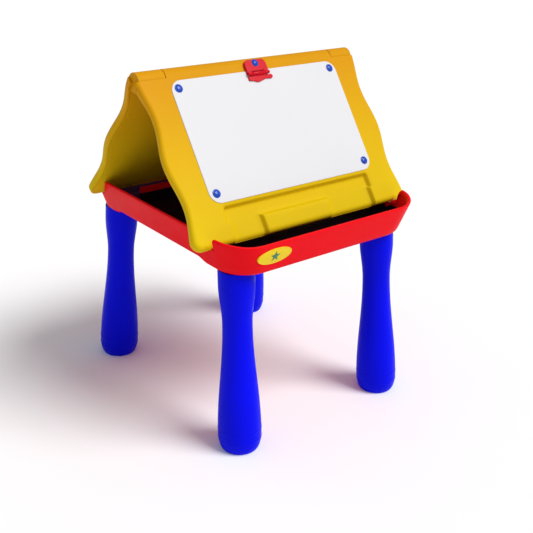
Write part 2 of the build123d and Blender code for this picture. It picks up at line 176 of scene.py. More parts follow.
def plastic(name, colour, low=None, rough=0.4, grain=0.25, grain_scale=900.0, waviness=0.3, scuffs=0.5,
            tone=0.06, specular=0.5, coat=0.0):
    """Moulded plastic: drifting tone, fine moulded grain, slow waviness and light scuffs; given low,
    painted light that turns the colour with height.
    """
    n = Nodes(name)
    place = n.add("ShaderNodeTexCoord").outputs["Object"]
    drift = n.ranged(n.noise(place, 5.0), 0.3, 0.7, 0.0, 1.0)
    base = n.mix(drift, shade(colour, 1 - tone), shade(colour, 1 + tone))
    # painted light: the colour turns with height to the brighter lower tone, painted in for the light
    # falling on the lower part
    if low:
        foot = n.mix(drift, shade(low, 1 - tone), shade(low, 1 + tone))
        split = n.add("ShaderNodeSeparateXYZ")
        n.link(place, split.inputs[0])
        base = n.mix(n.ranged(split.outputs["Z"], *PAINTED_LIGHT_SPAN, 0.0, 1.0), foot, base)
    speck = n.ranged(n.noise(place, 420.0, 2.0), 0.60, 0.75, 0.0, 0.10)
    base = n.mix(speck, base, shade(colour, 0.6))
    stretch = n.add("ShaderNodeMapping", Scale=(60.0, 9.0, 25.0), Rotation=(0.4, 0.3, 0.7))
    n.link(place, stretch.inputs["Vector"])
    scratch = n.noise(stretch.outputs["Vector"], 3.0, 8.0, 0.7)
    scuff = n.ranged(scratch, 0.62, 0.72, 0.0, scuffs)
    base = n.mix(n.ranged(scuff, 0.0, 1.0, 0.0, 0.12), base, shade([c + 0.10 for c in colour], 1.0))
    n.link(base, n.shader.inputs["Base Color"])
    patch = n.ranged(n.noise(place, 22.0), 0.3, 0.7, rough - 0.05, rough + 0.05)
    rougher = n.add("ShaderNodeMath", operation="MULTIPLY_ADD")
    n.link(scuff, rougher.inputs[0])
    rougher.inputs[1].default_value = 0.18
    n.link(patch, rougher.inputs[2])
    n.link(rougher.outputs[0], n.shader.inputs["Roughness"])
    fine = n.add("ShaderNodeBump", Strength=grain, Distance=0.0002)
    n.link(n.noise(place, grain_scale, 2.0), fine.inputs["Height"])
    slow = n.add("ShaderNodeBump", Strength=waviness, Distance=0.0012)
    n.link(n.noise(place, 13.0, 1.0), slow.inputs["Height"])
    n.link(fine.outputs["Normal"], slow.inputs["Normal"])
    n.link(slow.outputs["Normal"], n.shader.inputs["Normal"])
    n.shader.inputs["Specular IOR Level"].default_value = specular
    n.shader.inputs["Coat Weight"].default_value = coat
    n.shader.inputs["Coat Roughness"].default_value = 0.15
    return n.material


def whiteboard_material():
    """Coated sheet: clean white with faint wiped marker haze and fine wiping streaks."""
    n = Nodes("whiteboard_coat")
    place = n.add("ShaderNodeTexCoord").outputs["Object"]
    haze = n.ranged(n.noise(place, 7.0, 4.0), 0.45, 0.75, 0.0, 1.0)
    base = n.mix(haze, (0.66, 0.66, 0.68, 1.0), (0.65, 0.65, 0.67, 1.0))
    streak_map = n.add("ShaderNodeMapping", Scale=(6.0, 70.0, 70.0), Rotation=(0.0, 0.25, 0.1))
    n.link(place, streak_map.inputs["Vector"])
    streak = n.noise(streak_map.outputs["Vector"], 2.0, 5.0, 0.6)
    base = n.mix(n.ranged(streak, 0.58, 0.75, 0.0, 0.05), base, (0.65, 0.66, 0.69, 1.0))
    n.link(base, n.shader.inputs["Base Color"])
    n.link(n.ranged(streak, 0.3, 0.7, 0.42, 0.46), n.shader.inputs["Roughness"])
    n.shader.inputs["Specular IOR Level"].default_value = 0.08
    bump = n.add("ShaderNodeBump", Strength=0.08, Distance=0.0004)
    n.link(n.noise(place, 30.0, 2.0), bump.inputs["Height"])
    n.link(bump.outputs["Normal"], n.shader.inputs["Normal"])
    return n.material


def chalkboard_material():
    """Rough dark sheet with smeared chalk dust."""
    n = Nodes("chalkboard_face")
    place = n.add("ShaderNodeTexCoord").outputs["Object"]
    smear_map = n.add("ShaderNodeMapping", Scale=(5.0, 18.0, 18.0), Rotation=(0.0, 0.5, 0.0))
    n.link(place, smear_map.inputs["Vector"])
    smear = n.noise(smear_map.outputs["Vector"], 1.6, 9.0, 0.62)
    grain = n.noise(place, 1500.0, 2.0)
    dust = n.add("ShaderNodeMath", operation="MULTIPLY")
    n.link(n.ranged(smear, 0.42, 0.72, 0.02, 0.15), dust.inputs[0])
    n.link(n.ranged(grain, 0.3, 0.7, 0.5, 1.0), dust.inputs[1])
    base = n.mix(dust.outputs[0], (0.020, 0.026, 0.024, 1.0), (0.46, 0.48, 0.47, 1.0))
    n.link(base, n.shader.inputs["Base Color"])
    n.shader.inputs["Roughness"].default_value = 0.85
    bump = n.add("ShaderNodeBump", Strength=0.35, Distance=0.0002)
    n.link(grain, bump.inputs["Height"])
    n.link(bump.outputs["Normal"], n.shader.inputs["Normal"])
    return n.material


def steel_material():
    """Bright drawn wire with fine lengthwise marks."""
    n = Nodes("steel_wire")
    place = n.add("ShaderNodeTexCoord").outputs["Object"]
    drawn = n.add("ShaderNodeMapping", Scale=(40.0, 2500.0, 2500.0))
    n.link(place, drawn.inputs["Vector"])
    marks = n.noise(drawn.outputs["Vector"], 1.0, 3.0)
    n.link(n.ranged(marks, 0.3, 0.7, 0.22, 0.42), n.shader.inputs["Roughness"])
    n.link(n.mix(marks, (0.50, 0.50, 0.52, 1), (0.66, 0.66, 0.68, 1)), n.shader.inputs["Base Color"])
    n.shader.inputs["Metallic"].default_value = 1.0
    return n.material


RED = plastic("red_moulded", (0.82, 0.004, 0.010), rough=0.42, tone=0.04, specular=0.04)
BLUE = plastic("blue_blow_moulded", (0.001, 0.003, 0.74), rough=0.40, waviness=0.55, tone=0.08,
               specular=0.05)
# painted light: the lower tone is brighter and yellower and the upper tone darker and more orange,
# painted in for how light falls on the panels
YELLOW = plastic("yellow_moulded", (0.61, 0.275, 0.004), low=(0.68, 0.48, 0.005), rough=0.45,
                 tone=0.03, specular=0.04)
LINER = plastic("dark_liner_sheet", (0.014, 0.003, 0.012), rough=0.7, grain=0.6, scuffs=0.3,
                specular=0.05)
RIVET = plastic("rivet_blue", (0.006, 0.055, 0.42), rough=0.24, grain=0.08, scuffs=0.3, specular=0.25,
                coat=0.15)
CLIP = plastic("clip_red", (0.56, 0.003, 0.014), rough=0.28, grain=0.08, scuffs=0.2, specular=0.08,
               coat=0.06)
BADGE = plastic("badge_yellow", (0.80, 0.58, 0.01), rough=0.25, grain=0.05, specular=0.1, coat=0.1)
STAR = plastic("badge_star_green", (0.01, 0.16, 0.05), rough=0.3, grain=0.05, coat=0.3)
WHITEBOARD = whiteboard_material()
CHALKBOARD = chalkboard_material()
STEEL = steel_material()


# ---- Mesh helpers ----
def make_piece(name, verts, faces, body, materials, replaces=()):
    """A smooth-shaded piece with outward normals, sharp only where faces meet at a real edge."""
    mesh = bpy.data.meshes.new(name)
    mesh.from_pydata([tuple(v) for v in verts], [], faces)
    bm = bmesh.new()
    bm.from_mesh(mesh)
    bmesh.ops.remove_doubles(bm, verts=bm.verts, dist=1e-6)
    bmesh.ops.recalc_face_normals(bm, faces=bm.faces)
    bm.to_mesh(mesh)
    bm.free()
    for material in materials if isinstance(materials, (list, tuple)) else [materials]:
        mesh.materials.append(material)
    mesh.shade_smooth()
    mesh.set_sharp_from_angle(angle=math.radians(SHARP_ANGLE))
    piece = bpy.data.objects.new(name, mesh)
    bpy.context.scene.collection.objects.link(piece)
    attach(piece, body)
    if replaces:
        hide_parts(*replaces)
    return piece


def strip(ring_a, ring_b, closed=True):
    """Quads between two rows of vertex numbers of the same length."""
    count = len(ring_a)
    last = count if closed else count - 1
    return [(ring_a[i], ring_a[(i + 1) % count], ring_b[(i + 1) % count], ring_b[i])
            for i in range(last)]


def spread(start, end, count):
    """Evenly spaced values, both ends included."""
    return [start + (end - start) * i / count for i in range(count + 1)]


def step_up(value, edge, half_width):
    """Smooth rise from 0 to 1 across an edge."""
    t = min(1.0, max(0.0, (value - edge + half_width) / (2 * half_width)))
    return t * t * (3 - 2 * t)


def window(value, low, high, half_width):
    """1 between low and high, falling smoothly to 0 outside."""
    return step_up(value, low, half_width) * (1 - step_up(value, high, half_width))


class Mesh:
    """Vertices and faces gathered ring by ring."""

    def __init__(self):
        self.verts = []
        self.faces = []

    def row(self, points):
        start = len(self.verts)
        self.verts.extend(points)
        return list(range(start, len(self.verts)))

    def tube(self, rings, closed=True, cap_ends=True):
        """Rings of points joined in order, with both ends closed by one face."""
        rows = [self.row(ring) for ring in rings]
        for a, b in zip(rows, rows[1:]):
            self.faces += strip(a, b, closed)
        if cap_ends:
            self.faces += [tuple(rows[0]), tuple(reversed(rows[-1]))]
        return rows


# ---- Legs ----
WAVE_COUNT = 8                 # waves of the raised rings round each foot
WAVE_HEIGHT = 2.6 * MM
WAVE_RINGS = (27.0 * MM, 49.0 * MM)
WAVE_TROUGH = math.radians(219.0)
RING_HALF_W = 2.6 * MM
RING_PROUD = 0.7 * MM
LEG_SIDES = 144
RING_ZONE = (1.2 * MM, 62.0 * MM)   # fine rows: from just above the heel to over the rings
SHAFT_FROM = 66.0 * MM
LEG_OVERRUN = 6.0 * MM          # the leg runs past the tray's underside and is cut level there


def leg_radius(z):
    """Outer radius up a leg: rounded heel, full foot, waist two thirds up, full head."""
    if z < FOOT_Z:
        t = (FOOT_Z - z) / (FOOT_Z - SOLE_Z)
        return SOLE_R + (FOOT_R - SOLE_R) * math.sqrt(max(0.0, 1 - t * t))
    if z < WAIST_Z:
        t = (z - FOOT_Z) / (WAIST_Z - FOOT_Z)
        return FOOT_R + (WAIST_R - FOOT_R) * (1 - math.cos(math.pi * t)) / 2
    t = min(1.0, (z - WAIST_Z) / (HEAD_Z - WAIST_Z))
    return WAIST_R + (HEAD_R - WAIST_R) * (1 - math.cos(math.pi * t)) / 2


def ring_relief(z, angle):
    """Height of the two raised wavy rings round the foot."""
    wave = -WAVE_HEIGHT * math.cos(WAVE_COUNT * (angle - WAVE_TROUGH))
    proud = 0.0
    for level in WAVE_RINGS:
        distance = abs(z - level - wave) / RING_HALF_W
        if distance < 1:
            proud = max(proud, RING_PROUD * (1 + math.cos(math.pi * distance)) / 2)
    return proud


def leg(name, x_sign, y_sign):
    foot = Vector((x_sign * LEG_FLOOR[0], y_sign * LEG_FLOOR[1], 0))
    top = Vector((x_sign * LEG_TOP[0], y_sign * LEG_TOP[1], TRAY_BOTTOM_Z))
    axis = (top - foot).normalized()
    across = (Vector((1, 0, 0)) - axis * axis.x).normalized()
    other = axis.cross(across)
    heel = [SOLE_Z + (FOOT_Z - SOLE_Z) * (1 - math.cos(math.radians(a))) for a in range(0, 46, 5)]
    ring_zone = spread(heel[-1] + RING_ZONE[0], RING_ZONE[1], 40)
    length = (top - foot).length + LEG_OVERRUN
    heights = heel + ring_zone + spread(SHAFT_FROM, length, 84)
    rings = []
    for z in heights:
        ring = []
        for i in range(LEG_SIDES):
            angle = 2 * math.pi * i / LEG_SIDES
            radius = leg_radius(z) + ring_relief(z, angle)
            point = foot + axis * z + (across * math.cos(angle) + other * math.sin(angle)) * radius
            point.z = min(max(point.z, 0.0), TRAY_BOTTOM_Z)
            ring.append(tuple(point))
        rings.append(ring)
    shape = Mesh()
    shape.tube(rings)
    return make_piece(name + "_shell", shape.verts, shape.faces, "table", BLUE,
                      [name])


for leg_name, x_sign, y_sign in (("leg_front_left", -1, -1), ("leg_front_right", 1, -1),
                                 ("leg_back_left", -1, 1), ("leg_back_right", 1, 1)):
    leg(leg_name, x_sign, y_sign)


# ---- Tray ----
RIM_R = 4.5 * MM               # rolled rim: wider than the wall and rounded over
RIM_W = 9.0 * MM
TUB_EDGE_R = 11.0 * MM
ARC_STEPS = 9
SIDE_LIMIT = 256.0 * MM        # rows keep an exact Y as far as this, and follow the corners beyond
SLOT_INNER = (-194.2 * MM, -223.0 * MM)
SLOT_FLOOR = (476.5 * MM, 489.8 * MM)
SLOT_OUTER_Y = -241.8 * MM
HORN_ROUND = 9.0 * MM
RIM_NECK = (4.0 * MM, 7.0 * MM, 9.0 * MM)   # under the rolled rim the wall thins to its own width
INNER_FILLET = (0.6 * MM, 0.5 * MM)
UPSTAND_GAP = 0.3 * MM          # between the liner's upstand and the wall
UPSTAND_T = 1.0 * MM


def by_height(pair, z):
    t = (z - TRAY_BOTTOM_Z) / (TRAY_TOP_Z - TRAY_BOTTOM_Z)
    return pair[0] + t * (pair[1] - pair[0])


def tub_limits(z, inset):
    """Half width, front and back edge and corner radius of the tub at a height."""
    return (by_height(TRAY_HALF_W, z) - inset, by_height(TRAY_FRONT_Y, z) + inset,
            by_height(TRAY_BACK_Y, z) - inset, by_height(TRAY_CORNER_R, z) - inset)


def tub_row(row, z, inset):
    """Y and half width of one row of the tub's plan at a height.

    A row is ("y", value), or an arc position from the end wall (0) to SIDE_LIMIT (1).
    """
    half_w, front, back, radius = tub_limits(z, inset)
    kind, value = row
    if kind == "y":
        y = value
    elif kind == "front":
        last = math.acos((front + radius + SIDE_LIMIT) / radius)
        y = front + radius - radius * math.cos(value * last)
    else:
        last = math.acos((SIDE_LIMIT - back + radius) / radius)
        y = back - radius + radius * math.cos(value * last)
    past = max(front + radius - y, y - back + radius, 0.0)
    return y, half_w - radius + math.sqrt(max(0.0, radius * radius - past * past))


def raised_middle(y):
    """Lift of the tray floor between the two troughs."""
    half = (TRAY_TROUGH_Y + TRAY_MID_Y) / 2
    return TRAY_MID_LIFT * (1 - step_up(abs(y), half, (TRAY_TROUGH_Y - TRAY_MID_Y) / 2))


def rim_height(y):
    """Top of the wall along the tray, with the slots for the easel's feet and the horns."""
    side = abs(y)
    if SLOT_INNER[0] > -side >= SLOT_INNER[1]:
        t = (side + SLOT_INNER[0]) / (SLOT_INNER[0] - SLOT_INNER[1])
        return TRAY_TOP_Z + t * (SLOT_FLOOR[0] - TRAY_TOP_Z)
    if SLOT_INNER[1] > -side >= SLOT_OUTER_Y:
        t = (side + SLOT_INNER[1]) / (SLOT_INNER[1] - SLOT_OUTER_Y)
        return SLOT_FLOOR[0] + t * (SLOT_FLOOR[1] - SLOT_FLOOR[0])
    if side < HORN_Y:
        return SLOT_FLOOR[1] if side > -SLOT_OUTER_Y else TRAY_TOP_Z
    for (y0, z0), (y1, z1) in zip(RIM_LINE, RIM_LINE[1:]):
        if side < y1:
            height = z0 + (side - y0) / (y1 - y0) * (z1 - z0)
            break
    else:
        height = RIM_LINE[-1][1]
    short = max(0.0, HORN_ROUND - (side - HORN_Y))
    return height - HORN_ROUND + math.sqrt(max(0.0, HORN_ROUND ** 2 - short ** 2))


def tub_rows():
    """Rows of the plan from the front wall to the back wall."""
    slot = [197.0, 198.6, 201.0, 208.0, 215.0, 222.0, 226.0, 227.4, 231.0, 235.0, 239.0, 242.0,
            243.2, 249.9, 250.0, 250.3, 251.0, 252.0, 253.5, 255.0]
    middle = [0.0, 20.0, 45.0, 70.0, 95.0, 120.0, 145.0, 160.0, 168.0, 175.0, 182.0, 189.0, 195.0]
    half = [value * MM for value in middle + slot]
    exact = [-y for y in reversed(half)] + half[1:]
    arc = spread(0.0, 1.0, ARC_STEPS)
    return ([("front", t) for t in arc] + [("y", y) for y in exact]
            + [("back", t) for t in reversed(arc)])


ROWS = tub_rows()
ACROSS = spread(-1.0, 1.0, 26)


def tub_plan(z_of, inset):
    """Grid of points over the plan, at the height that z_of gives for each row's Y."""
    grid = []
    for row in ROWS:
        y = tub_row(row, TRAY_BOTTOM_Z, inset)[0]
        z = z_of(y)
        y, half = tub_row(row, z, inset)
        grid.append([(u * half, y, z) for u in ACROSS])
    return grid


def tub_ring(level, inset):
    """Closed ring of points round the wall. level gives a height from a row's Y at the rim."""
    left, right = [], []
    for row in ROWS:
        rim_y = tub_row(row, TRAY_TOP_Z, 0.0)[0]
        z = level(rim_y)
        y, half = tub_row(row, z, inset)
        left.append((-half, y, z))
        right.append((half, y, z))
    front = [(left[0][0] + (right[0][0] - left[0][0]) * (u + 1) / 2, left[0][1], left[0][2])
             for u in ACROSS[1:-1]]
    back = [(x, left[-1][1], left[-1][2]) for x, _, _ in front]
    return left[::-1] + front + right + back[::-1]


def grid_ring(rows):
    """Vertex numbers round the edge of a plan grid, in the order of tub_ring."""
    left = [row[0] for row in rows]
    right = [row[-1] for row in rows]
    return left[::-1] + rows[0][1:-1] + right + rows[-1][1:-1][::-1]


def plan_faces(rows):
    faces = []
    for a, b in zip(rows, rows[1:]):
        faces += strip(a, b, closed=False)
    return faces


def wall_levels(low, high, count):
    """Heights up the wall: functions of Y, evenly spaced between two other functions."""
    return [lambda y, t=i / count: low(y) + t * (high(y) - low(y)) for i in range(count + 1)]


def tray_shell():
    shape = Mesh()

    def under(y):
        return TRAY_BOTTOM_Z + raised_middle(y)

    def floor_top(y):
        return under(y) + TRAY_WALL

    outside = [shape.row(row) for row in tub_plan(under, TUB_EDGE_R)]
    shape.faces += plan_faces(outside)
    ring = grid_ring(outside)
    rings = []
    for angle in range(15, 76, 12):
        a = math.radians(angle)
        rings.append(((lambda y, a=a: under(y) + TUB_EDGE_R * (1 - math.cos(a))),
                      TUB_EDGE_R * (1 - math.sin(a))))
    for level in wall_levels(lambda y: under(y) + TUB_EDGE_R, lambda y: rim_height(y) - RIM_R, 6):
        rings.append((level, 0.0))
    for angle in range(18, 181, 18):
        a = math.radians(angle)
        rings.append(((lambda y, a=a: rim_height(y) - RIM_R + RIM_R * math.sin(a)),
                      RIM_R - RIM_R * math.cos(a)))
    rings.append((lambda y: rim_height(y) - RIM_R - RIM_NECK[0], RIM_W))
    rings.append((lambda y: rim_height(y) - RIM_R - RIM_NECK[1], TRAY_WALL))
    for level in wall_levels(lambda y: rim_height(y) - RIM_R - RIM_NECK[2],
                             lambda y: floor_top(y) + LINER_GAP, 4):
        rings.append((level, TRAY_WALL))
    rings.append((lambda y: floor_top(y) + INNER_FILLET[0], TRAY_WALL + INNER_FILLET[1]))
    for level, inset in rings:
        new_ring = shape.row(tub_ring(level, inset))
        shape.faces += strip(ring, new_ring)
        ring = new_ring
    inside = [shape.row(row) for row in tub_plan(floor_top, TRAY_WALL + LINER_GAP)]
    shape.faces += plan_faces(inside)
    shape.faces += strip(ring, grid_ring(inside))
    return shape


def rounded_bar(size, radius, steps=4):
    """Rings along X of a bar with rounded long edges and slightly tucked ends, round the origin."""
    half_x, half_y, half_z = (value / 2 for value in size)
    section = []
    for corner, (sy, sz) in enumerate(((1, 1), (-1, 1), (-1, -1), (1, -1))):
        for i in range(steps + 1):
            a = math.radians(90 * corner + 90 * i / steps)
            section.append((sy * (half_y - radius) + radius * math.cos(a),
                            sz * (half_z - radius) + radius * math.sin(a)))
    rings = []
    for x, tuck in ((-half_x, radius), (-half_x + radius * 0.3, radius * 0.3),
                    (-half_x + radius, 0.0), (half_x - radius, 0.0),
                    (half_x - radius * 0.3, radius * 0.3), (half_x, radius)):
        scale_y, scale_z = 1 - tuck / half_y, 1 - tuck / half_z
        rings.append([(x, y * scale_y, z * scale_z) for y, z in section])
    return rings


def upright_bar(plan, low, high):
    """Rings of a rib standing in the back trough between two heights."""
    bar = rounded_bar((*plan, high - low), RIB_EDGE_R)
    return [[(x, y + RIB_Y, z + (low + high) / 2) for x, y, z in ring] for ring in bar]


def tray():
    shape = tray_shell()
    low = TRAY_BOTTOM_Z + TRAY_WALL - RIB_ROOT
    shape.tube(upright_bar(RIB_SIZE, low, RIB_TOP_Z))
    return make_piece("tray_tub", shape.verts, shape.faces, "table", RED, ["tray"])


def tray_liner():
    """Thin dark sheet over the tray floor, turned up the inner walls and round the divider."""
    shape = Mesh()

    def top(y):
        return TRAY_BOTTOM_Z + raised_middle(y) + TRAY_WALL + LINER_T

    def bottom(y):
        return top(y) - LINER_T + 0.2 * MM

    upper = [shape.row(row) for row in tub_plan(top, TRAY_WALL + LINER_GAP)]
    lower = [shape.row(row) for row in tub_plan(bottom, TRAY_WALL + LINER_GAP)]
    shape.faces += plan_faces(upper) + plan_faces(lower)
    ring = grid_ring(upper)
    upstand = ((lambda y: top(y) + 0.8 * MM, 1.4 * MM), (lambda y: top(y) + 3 * MM, 1.3 * MM),
               (lambda y: LINER_TOP_Z, UPSTAND_GAP + UPSTAND_T), (lambda y: LINER_TOP_Z, UPSTAND_GAP),
               (lambda y: bottom(y) + 3 * MM, 0.4 * MM), (lambda y: bottom(y) + 1.2 * MM, 0.9 * MM))
    for level, inset in upstand:
        new_ring = shape.row(tub_ring(level, TRAY_WALL + inset))
        shape.faces += strip(ring, new_ring)
        ring = new_ring
    shape.faces += strip(ring, grid_ring(lower))
    sleeve = [size + 2 * RIB_COVER_T for size in RIB_SIZE]
    shape.tube(upright_bar(sleeve, top(RIB_Y) - 1 * MM, RIB_DARK_Z))
    return make_piece("tray_liner_sheet", shape.verts, shape.faces, "table", LINER,
                      ["tray_liner"])


tray()
tray_liner()


# ---- Easel panels: grids of points whose columns run round the thickness of the panel ----
INNER_FACE = PANEL_INNER + 0.3 * MM
INNER_EDGE_R = (1.6 * MM, 7.0 * MM)   # at the hinge and foot, and along the sides
LOWER_EDGE_R = 11.0 * MM       # the edge rounding grows towards the panel's foot
LOWER_EDGE_S = (350.0 * MM, 25.0 * MM)   # where it grows, and over what half length
SIDE_ROUNDING = (50.0 * MM, 345.0 * MM, 25.0 * MM)
LEAST_EDGE = 1.6 * MM           # flat left between the two roundings
BACKING_INSET = 9.5 * MM
GROOVE_S = 7.0 * MM
ARC_POINTS = 25
ARC_INNER_S = 24.0 * MM
ZONE_S = 30.0 * MM             # below this the rows are the same for every column
BARREL_FILLET = 0.8 * MM
KNUCKLE_STEP = 0.2 * MM
KNUCKLE_PLAY = 0.45 * MM        # from the knuckle line to the mesh edge on either side
FREE_X = 250.0 * MM            # columns keep an exact X as far as this
EDGE_INSETS = [value * MM for value in (18, 14, 11, 9, 7.9, 7.4, 7.2, 6.8, 5.2, 3.6, 2.0, 0.9, 0.25, 0)]


def edge_x(s):
    """Half width of a panel at distance s down the slope: two shallow waists."""
    wave = (1 - math.cos(4 * math.pi * s / PANEL_LENGTH)) / 2
    return PANEL_HALF_W - PANEL_WAVE * wave


CORNER_S = PANEL_LENGTH - PANEL_CORNER_R
CORNER_X = edge_x(CORNER_S) - PANEL_CORNER_R


def half_width(s):
    """Half width of the outline, rounded bottom corners included."""
    if s <= CORNER_S:
        return edge_x(max(s, 0.0))
    return CORNER_X + math.sqrt(max(0.0, PANEL_CORNER_R ** 2 - (s - CORNER_S) ** 2))


def edge_distance(x, s):
    """How far a point of the panel lies in from its outline."""
    if s > CORNER_S and abs(x) > CORNER_X:
        return max(0.0, PANEL_CORNER_R - math.hypot(abs(x) - CORNER_X, s - CORNER_S))
    return max(0.0, min(edge_x(max(s, 0.0)) - abs(x), PANEL_LENGTH - s))


def rounded_drop(distance, radius):
    """How far a surface falls near its edge when that edge is rounded."""
    if distance >= radius:
        return 0.0
    return radius - math.sqrt(max(0.0, radius ** 2 - (radius - distance) ** 2))


def channel_depth(x, s):
    """Depth of the pen channel and of the marker pockets that open below it."""
    half, top, bottom = CHANNEL
    deep = window(x, -half, half, SOFT_EDGE) * window(s, top, bottom, SOFT_EDGE)
    for x0, x1 in POCKETS_X:
        deep = max(deep, window(x, x0, x1, SOFT_EDGE) * step_up(s, top, SOFT_EDGE))
    return CHANNEL_DEPTH * deep


def outer_h(x, s, front):
    radius = PANEL_EDGE_R + (LOWER_EDGE_R - PANEL_EDGE_R) * step_up(s, *LOWER_EDGE_S)
    drop = rounded_drop(edge_distance(x, s), radius)
    if front:
        drop += channel_depth(x, s)
    return max(BARREL_R - drop, inner_h(x, s) + LEAST_EDGE)


def inner_h(x, s):
    least, most = INNER_EDGE_R
    radius = least + (most - least) * window(s, *SIDE_ROUNDING)
    return INNER_FACE + rounded_drop(edge_distance(x, s), radius)


def with_edges(values, edges, gap=0.5 * MM):
    """Sorted positions: an even spread, made fine across each rounded edge."""
    fine = [edge + SOFT_EDGE * k for edge in edges for k in (-1, -0.6, -0.3, 0, 0.3, 0.6, 1)]
    kept = []
    for value in sorted(fine + [v for v in values
                                if all(abs(v - e) > 1.6 * SOFT_EDGE for e in edges)]):
        if not kept or value - kept[-1] > gap:
            kept.append(value)
    return kept


def panel_rows():
    """Distances down the slope below the hinge zone."""
    even = spread(ZONE_S, CORNER_S, 28)
    rows = with_edges(even, CHANNEL[1:])
    corner = [CORNER_S + PANEL_CORNER_R * math.sin(math.radians(a)) for a in range(9, 91, 9)]
    return rows + corner


def panel_columns(front):
    """Column places as (kind, value): an exact X, a share of the gap, or an inset from the edge."""
    knuckle = [KNUCKLE_X + sign * KNUCKLE_STEP - KNUCKLE_PLAY * (1 if front else -1)
               for sign in (-1, 1)]
    near = [knuckle[0] - 0.9 * MM, knuckle[0] - 0.4 * MM] if front else [knuckle[1] + 0.4 * MM,
                                                                        knuckle[1] + 0.9 * MM]
    features = [-CHANNEL[0], CHANNEL[0]] + [x for pair in POCKETS_X for x in pair]
    even = [x for x in spread(-FREE_X, FREE_X, 40) if abs(abs(x) - KNUCKLE_X) > 3 * MM]
    exact = with_edges(even, features if front else [])
    exact = sorted(exact + [sign * x for x in knuckle + near for sign in (-1, 1)])
    shares = [("share", 1 / 3), ("share", 2 / 3)]
    right = shares + [("inset", d) for d in EDGE_INSETS]
    left = [(kind, value, -1) for kind, value in reversed(right)]
    return left + [("x", x, 1) for x in exact] + [(kind, value, 1) for kind, value in right]


def column_x(column, s):
    kind, value, side = column
    if kind == "x":
        return value
    edge = half_width(s)
    if kind == "inset":
        return side * (edge - value)
    return side * (FREE_X + (edge - EDGE_INSETS[0] - FREE_X) * value)


def hinge_kind(x, front):
    """What a panel has at its top edge at X: a barrel, room for the other's, or a plain end."""
    side = abs(x)
    if front:
        return "barrel" if side < KNUCKLE_X - KNUCKLE_PLAY else "room"
    if side < KNUCKLE_X + KNUCKLE_PLAY:
        return "room"
    return "barrel" if side < BARREL_END_X else "plain"


def barrel_radius(x, front):
    """Barrel radius, with its ends' edges rounded."""
    side = abs(x)
    ends = [KNUCKLE_X - 0.65 * MM] if front else [KNUCKLE_X + 0.65 * MM, BARREL_END_X]
    return BARREL_R - rounded_drop(min(abs(side - end) for end in ends), BARREL_FILLET)


def hinge_arc(kind, x, front):
    """Points (s, h) round the top of a panel, from its inner face to its outer face."""
    points = []
    if kind == "barrel":
        radius = barrel_radius(x, front)
        start = math.asin(INNER_FACE / radius)
        for k in range(ARC_POINTS):
            a = start - (start + 1.5 * math.pi) * k / (ARC_POINTS - 1)
            points.append((radius * math.cos(a), radius * math.sin(a)))
        return points
    if kind == "room":
        start, end = math.asin(INNER_FACE / BARREL_ROOM), math.acos(GROOVE_S / BARREL_ROOM)
        for k in range(ARC_POINTS - 1):
            a = start + (end - start) * k / (ARC_POINTS - 2)
            points.append((BARREL_ROOM * math.cos(a), BARREL_ROOM * math.sin(a)))
        return points + [(GROOVE_S, BARREL_R)]
    half = ARC_POINTS // 2
    for k in range(half):
        points.append((BARREL_R + (3 * MM - BARREL_R) * k / (half - 1), INNER_FACE))
    for k in range(ARC_POINTS - half):
        t = k / (ARC_POINTS - half - 1)
        points.append((2 * MM, INNER_FACE + 1 * MM + (BARREL_R - INNER_FACE - 2 * MM) * t))
    return points


HINGE_START = {"barrel": 0.0, "room": GROOVE_S, "plain": 3.0 * MM}


def panel_column(column, rows, front):
    """Closed loop of points (x, s, h) of one column: down the outer face, up the inner one."""
    top_x = column_x(column, 0.0)
    kind = hinge_kind(top_x, front)
    zone = (0.02, 0.25, 0.5, 0.75)
    outer_s = [HINGE_START[kind] + (ZONE_S - HINGE_START[kind]) * t for t in zone] + rows
    inner_s = [ARC_INNER_S + (ZONE_S - ARC_INNER_S) * t for t in zone] + rows
    outer = [(column_x(column, s), s) for s in outer_s]
    inner = [(column_x(column, s), s) for s in inner_s]
    outer = [(x, s, outer_h(x, s, front)) for x, s in outer]
    inner = [(x, s, inner_h(x, s)) for x, s in inner]
    ceiling = BARREL_R if kind == "barrel" else outer[0][2]
    arc = [(top_x, s, min(h, ceiling)) for s, h in hinge_arc(kind, top_x, front)]
    return outer, inner, arc


def end_cap(outer, inner, arc):
    """Faces that close a panel's side edge."""
    faces = strip(outer, inner, closed=False) + [(outer[0], inner[0], arc[0], arc[-1])]
    half = len(arc) // 2
    faces += [(arc[k], arc[k + 1], arc[-k - 2], arc[-k - 1]) for k in range(half - 1)]
    return faces + [(arc[half - 1], arc[half], arc[half + 1])]


def panel_shell(name, node, body, front):
    rows = panel_rows()
    shape = Mesh()
    loops = []
    for column in panel_columns(front):
        points = panel_column(column, rows, front)
        numbers = [shape.row([on_board(*point, back=not front) for point in part])
                   for part in points]
        loops.append(numbers)
    for a, b in zip(loops, loops[1:]):
        loop_a, loop_b = (outer + inner[::-1] + arc for outer, inner, arc in (a, b))
        shape.faces += strip(loop_a, loop_b)
    shape.faces += end_cap(*loops[0]) + end_cap(*loops[-1])
    return make_piece(name, shape.verts, shape.faces, body, YELLOW, [node])


